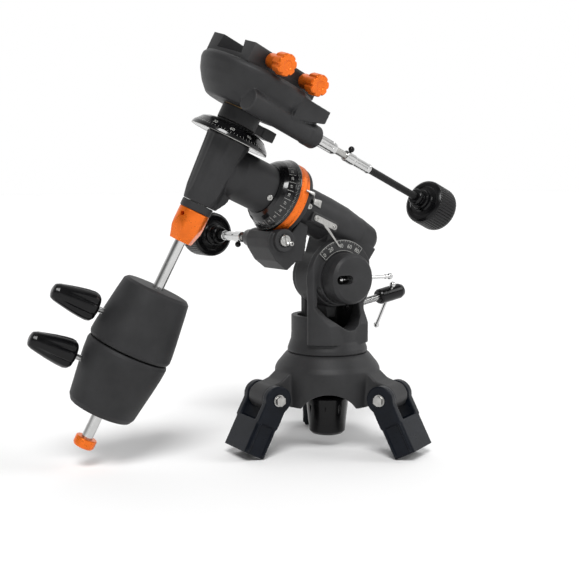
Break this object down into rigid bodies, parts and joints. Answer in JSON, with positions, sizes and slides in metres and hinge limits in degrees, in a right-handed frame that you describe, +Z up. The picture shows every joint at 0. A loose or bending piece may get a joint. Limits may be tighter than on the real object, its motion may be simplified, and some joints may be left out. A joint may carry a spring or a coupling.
{
  "type": "equatorial telescope mount head",
  "caption": "Manual equatorial telescope mount head with slow-motion control knobs, setting circles, counterweights, latitude yoke and tripod head.",
  "frame": {"origin": "centre of the azimuth bearing plane between the yoke and the tripod head", "axes": "+Z up the azimuth axis; +X towards the low end of the polar axis; +Y along the altitude pivot, away from the ear with the latitude scale"},
  "size_m": [0.4873, 0.2711, 0.4564],
  "materials": {
    "cast_grey": "satin dark grey enamel with a fine orange-peel grain",
    "weight_grey": "dark grey wrinkle enamel over cast iron",
    "navy_plastic": "moulded blue-black nylon, fine grain",
    "black_plastic": "glossy moulded black",
    "black_rubber": "matt black, finely grooved",
    "dial_black": null,
    "scale_plate": null,
    "orange_anodised": "bright orange anodised, fine turned lines",
    "chrome": "bright plated",
    "steel": "zinc plated screws and turned steel",
    "bronze": "turned bearing bronze"
  },
  "bodies": {
    "tripod_head": {"tripod_head": "cast_grey", "leg_hinge_bolts": "steel"},
    "leg_1": {"leg_bracket_1": "navy_plastic"},
    "leg_2": {"leg_bracket_2": "navy_plastic"},
    "leg_3": {"leg_bracket_3": "navy_plastic"},
    "azimuth_lock": {"azimuth_lock_knob": "black_plastic"},
    "yoke": {"yoke": "cast_grey", "latitude_scale": "scale_plate", "altitude_pivot_bolt": "steel", "altitude_pivot_nut": "steel"},
    "altitude_lock": {"altitude_lock_cap": "cast_grey", "altitude_lock_lever": "chrome"},
    "altitude_screw": {"altitude_screw": "cast_grey"},
    "tommy_bar": {"altitude_tommy_bar": "chrome"},
    "ra_housing": {"ra_housing": "cast_grey", "ra_bushes": "bronze", "gear_band": "orange_anodised", "latitude_pointer": "steel", "ra_pointer": "steel", "housing_screws": "steel", "ra_worm_plug": "steel", "ra_worm_cover": "black_plastic"},
    "ra_gear": {"ra_worm_wheel": "bronze"},
    "ra_worm": {"ra_worm": "steel", "ra_coupling": "steel", "ra_pinch_screw": "black_plastic", "ra_control_shaft": "black_rubber", "ra_control_knob": "black_rubber"},
    "ra_axis": {"dec_housing": "cast_grey", "dec_bushes": "bronze", "polar_shaft": "steel", "polar_shaft_nut": "steel", "ra_clutch_screw": "steel"},
    "ra_circle": {"ra_setting_circle": "dial_black"},
    "dec_circle": {"dec_setting_circle": "dial_black"},
    "dec_gear": {"dec_clamp_ring": "cast_grey", "dec_worm_wheel": "bronze"},
    "dec_axis": {"dec_head": "cast_grey", "dec_shaft": "steel", "dec_worm_bush": "chrome", "saddle": "cast_grey", "saddle_screws": "steel", "bar_lock_ring": "cast_grey", "bar_collar": "orange_anodised", "counterweight_bar": "chrome", "bar_end_cap": "orange_anodised"},
    "dec_worm": {"dec_worm": "steel", "dec_coupling": "chrome", "dec_pinch_screw": "black_plastic", "dec_control_shaft": "black_rubber", "dec_control_knob": "black_rubber"},
    "saddle_clamp_front": {"saddle_clamp_front": "orange_anodised"},
    "saddle_clamp_rear": {"saddle_clamp_rear": "orange_anodised"},
    "upper_weight": {"upper_weight": "weight_grey"},
    "upper_clamp": {"upper_clamp_screw": "steel", "upper_clamp_knob": "black_plastic"},
    "lower_weight": {"lower_weight": "weight_grey"},
    "lower_clamp": {"lower_clamp_screw": "steel", "lower_clamp_knob": "black_plastic"}
  },
  "joints": [
    {"name": "leg_fold_1", "type": "hinge", "parent": "tripod_head", "child": "leg_1", "pos_m": [0.04474, 0.06389, -0.045], "axis": [-0.8191, 0.5736, 0], "range_deg": [0, 27]},
    {"name": "leg_fold_2", "type": "hinge", "parent": "tripod_head", "child": "leg_2", "pos_m": [-0.0777, 0.0068, -0.045], "axis": [-0.0872, -0.9962, 0], "range_deg": [0, 27]},
    {"name": "leg_fold_3", "type": "hinge", "parent": "tripod_head", "child": "leg_3", "pos_m": [0.03296, -0.07069, -0.045], "axis": [0.9063, 0.4226, 0], "range_deg": [0, 27]},
    {"name": "azimuth_lock_turn", "type": "hinge", "parent": "tripod_head", "child": "azimuth_lock", "pos_m": [0, 0, -0.04], "axis": [0, 0, 1], "range_deg": [-180, 180]},
    {"name": "azimuth", "type": "hinge", "parent": "tripod_head", "child": "yoke", "pos_m": [0, 0, 0], "axis": [0, 0, 1], "continuous": true},
    {"name": "altitude", "type": "hinge", "parent": "yoke", "child": "ra_housing", "pos_m": [0, 0, 0.085], "axis": [0, 1, 0], "range_deg": [-15, 40]},
    {"name": "altitude_lock_turn", "type": "hinge", "parent": "yoke", "child": "altitude_lock", "pos_m": [0, -0.038, 0.085], "axis": [0, 1, 0], "range_deg": [-60, 35]},
    {"name": "altitude_screw_turn", "type": "hinge", "parent": "yoke", "child": "altitude_screw", "pos_m": [0.0503, 0, 0.052], "axis": [0.9848, 0, 0.1736], "range_deg": [-180, 180]},
    {"name": "tommy_bar_slide", "type": "slide", "parent": "altitude_screw", "child": "tommy_bar", "axis": [-0.1386, -0.6022, 0.7862], "range_m": [-0.001, 0.036]},
    {"name": "ra_drive", "type": "hinge", "parent": "ra_housing", "child": "ra_gear", "pos_m": [0, 0, 0.14724], "axis": [-0.9195, 0, 0.3931], "range_deg": [-30, 45]},
    {"name": "ra_worm_turn", "type": "hinge", "parent": "ra_housing", "child": "ra_worm", "pos_m": [-0.07732, 0, 0.12918], "axis": [0, 1, 0], "range_deg": [-3000, 4500]},
    {"name": "ra_clutch", "type": "hinge", "parent": "ra_gear", "child": "ra_axis", "pos_m": [0, 0, 0.14724], "axis": [-0.9195, 0, 0.3931], "range_deg": [-60, 85]},
    {"name": "ra_circle_turn", "type": "hinge", "parent": "ra_axis", "child": "ra_circle", "pos_m": [-0.07724, 0, 0.18026], "axis": [-0.9195, 0, 0.3931], "continuous": true},
    {"name": "dec_circle_turn", "type": "hinge", "parent": "ra_axis", "child": "dec_circle", "pos_m": [-0.13156, -0.00728, 0.24184], "axis": [0.385, -0.2021, 0.9005], "continuous": true},
    {"name": "dec_clutch", "type": "hinge", "parent": "ra_axis", "child": "dec_gear", "pos_m": [-0.1254, -0.01051, 0.25625], "axis": [0.385, -0.2021, 0.9005], "continuous": true},
    {"name": "dec_drive", "type": "hinge", "parent": "dec_gear", "child": "dec_axis", "pos_m": [-0.11847, -0.01415, 0.27245], "axis": [0.385, -0.2021, 0.9005], "continuous": true},
    {"name": "dec_worm_turn", "type": "hinge", "parent": "dec_axis", "child": "dec_worm", "pos_m": [-0.11634, -0.05989, 0.26183], "axis": [0.922, 0.1278, -0.3655], "continuous": true},
    {"name": "saddle_clamp_front_turn", "type": "hinge", "parent": "dec_axis", "child": "saddle_clamp_front", "pos_m": [-0.12083, -0.07506, 0.31087], "axis": [0.0412, -0.971, -0.2356], "range_deg": [-180, 180]},
    {"name": "saddle_clamp_rear_turn", "type": "hinge", "parent": "dec_axis", "child": "saddle_clamp_rear", "pos_m": [-0.07657, -0.06893, 0.29333], "axis": [0.0412, -0.971, -0.2356], "range_deg": [-180, 180]},
    {"name": "upper_weight_slide", "type": "slide", "parent": "dec_axis", "child": "upper_weight", "axis": [0.385, -0.2021, 0.9005], "range_m": [0, 0.05]},
    {"name": "upper_clamp_turn", "type": "hinge", "parent": "upper_weight", "child": "upper_clamp", "pos_m": [-0.26201, 0.0463, 0.062], "axis": [-0.8917, 0.1701, 0.4194], "range_deg": [-180, 180]},
    {"name": "lower_weight_slide", "type": "slide", "parent": "dec_axis", "child": "lower_weight", "axis": [0.385, -0.2021, 0.9005], "range_m": [-0.027, 0]},
    {"name": "lower_clamp_turn", "type": "hinge", "parent": "lower_weight", "child": "lower_clamp", "pos_m": [-0.2828, 0.05721, 0.01337], "axis": [-0.8917, 0.1701, 0.4194], "range_deg": [-180, 180]}
  ],
  "couplings": [
    {"joint": "ra_worm_turn", "follows": "ra_drive", "ratio": 100},
    {"joint": "dec_worm_turn", "follows": "dec_drive", "ratio": 100}
  ]
}
